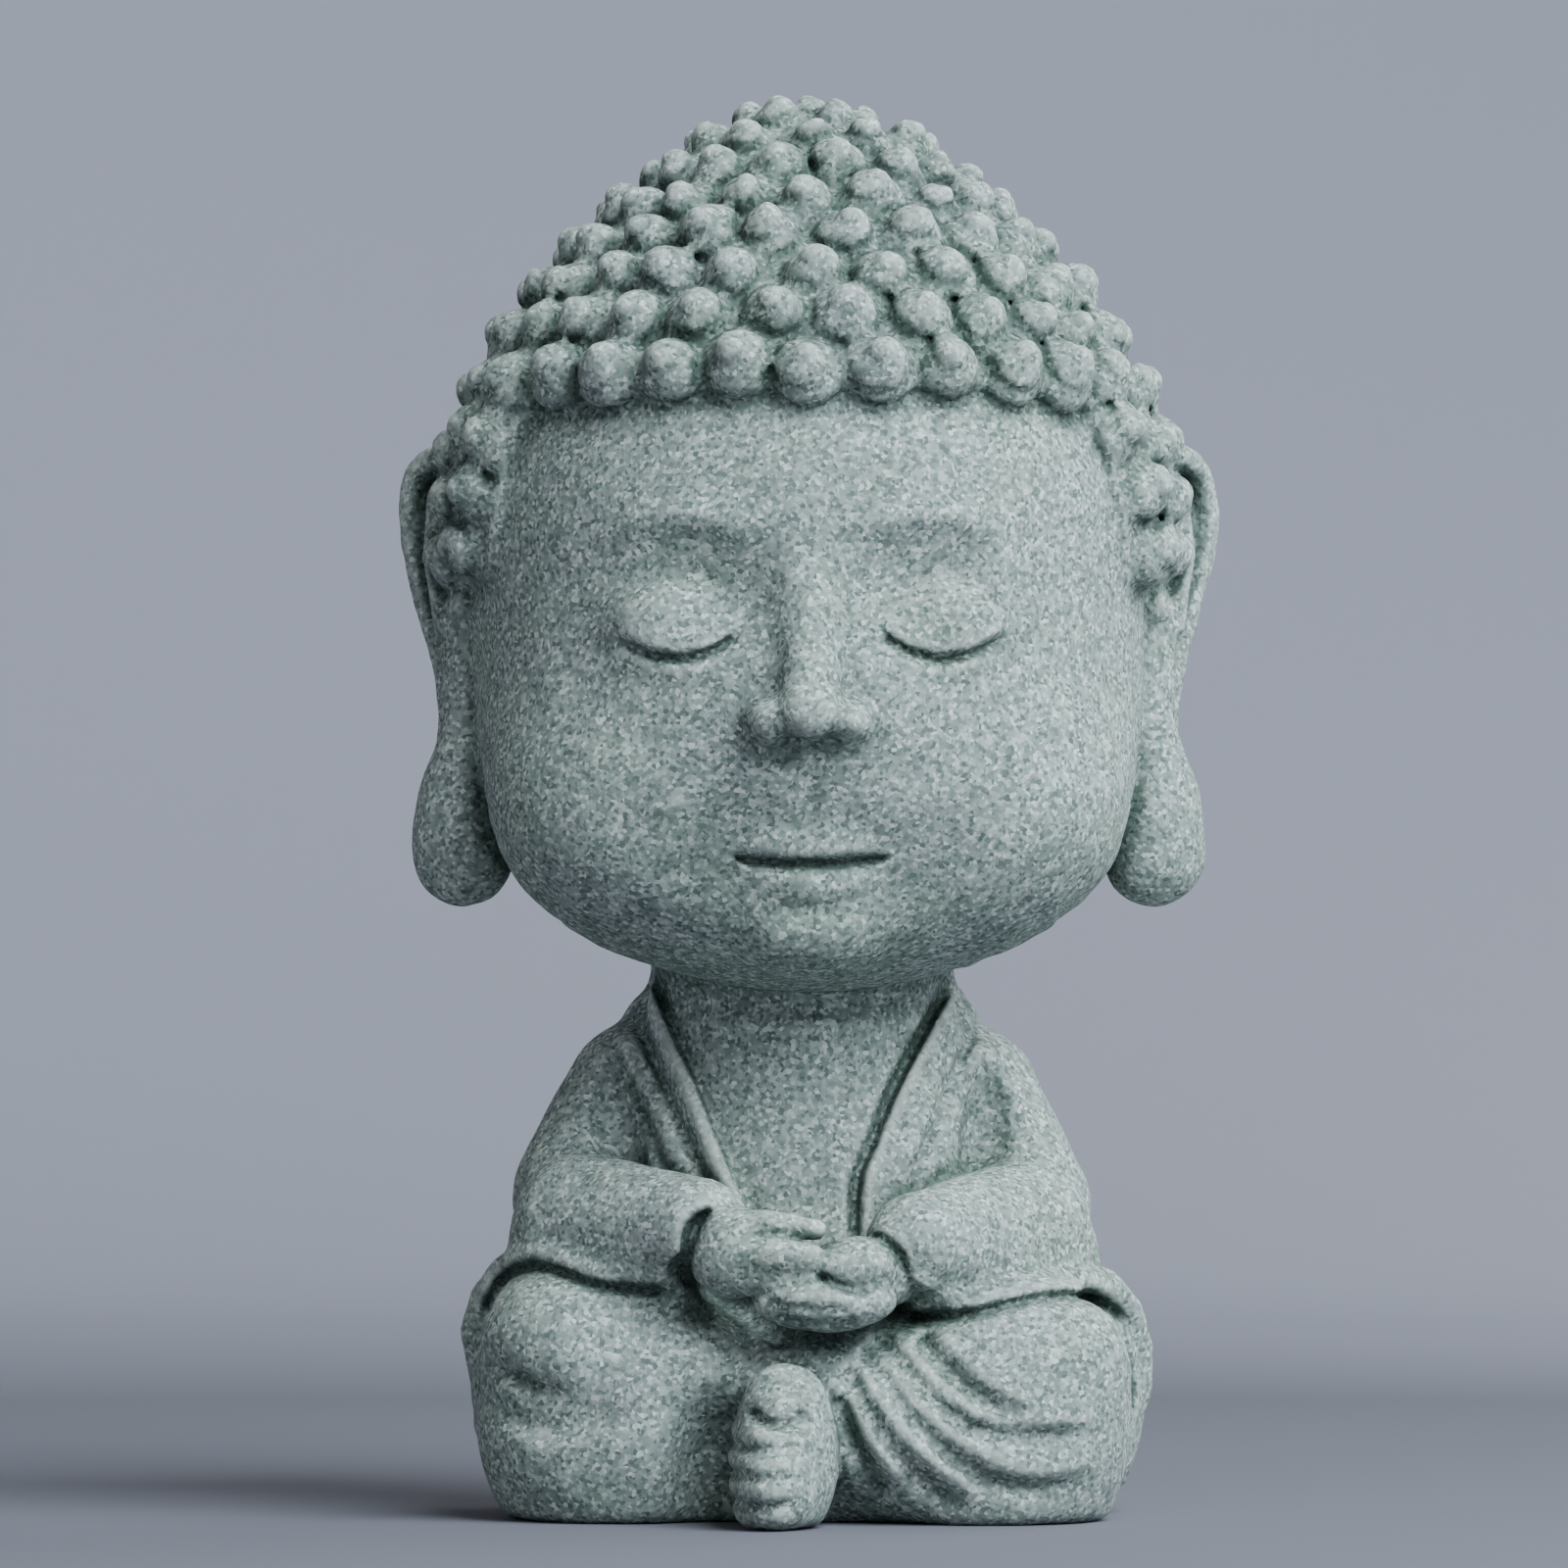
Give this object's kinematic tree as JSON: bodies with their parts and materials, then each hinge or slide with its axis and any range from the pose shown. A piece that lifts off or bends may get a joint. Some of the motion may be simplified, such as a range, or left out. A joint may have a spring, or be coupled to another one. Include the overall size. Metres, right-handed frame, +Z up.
{
  "type": "seated child buddha statue",
  "caption": "Cast stone figurine of a seated child with a large curl-covered head, long ears, an open robe, folded hands and crossed legs.",
  "frame": {"origin": "middle of the flat underside, under the centre of the bounding box", "axes": "+Z up to the top curl, the figure faces -Y, +X on the right of someone facing it"},
  "size_m": [0.1028, 0.096, 0.1798],
  "materials": {
    "stone": "matte speckled green-grey cast sandstone"
  },
  "bodies": {
    "root": {"statue": "stone"}
  },
  "joints": []
}
